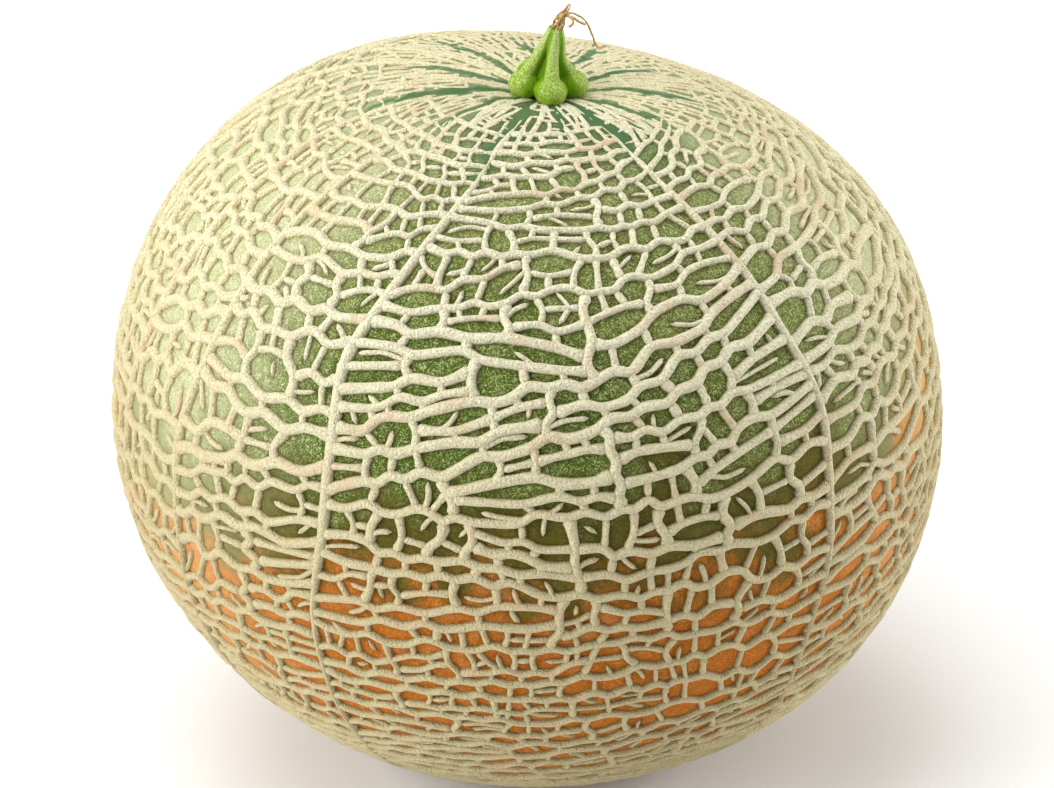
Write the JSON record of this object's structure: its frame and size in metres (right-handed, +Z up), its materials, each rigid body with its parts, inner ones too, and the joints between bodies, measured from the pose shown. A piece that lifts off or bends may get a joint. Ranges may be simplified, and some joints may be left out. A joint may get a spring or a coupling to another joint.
{
  "type": "cantaloupe melon",
  "caption": "Whole ripe netted cantaloupe melon with a green stalk and a withered vine end, resting on a flat spot.",
  "frame": {"origin": "centre of the flat spot under the melon, on the surface that it rests on", "axes": "+Z up, +X to the right of the melon as it is pictured, -Y its pictured front"},
  "size_m": [0.1501, 0.1491, 0.1481],
  "materials": {
    "netted_rind": "matt, corky net over skin",
    "green_stalk": "matt, downy",
    "withered_vine": "dry, fibrous"
  },
  "bodies": {
    "root": {"melon": "netted_rind", "stalk": "green_stalk", "vine_end": "withered_vine"}
  },
  "joints": []
}
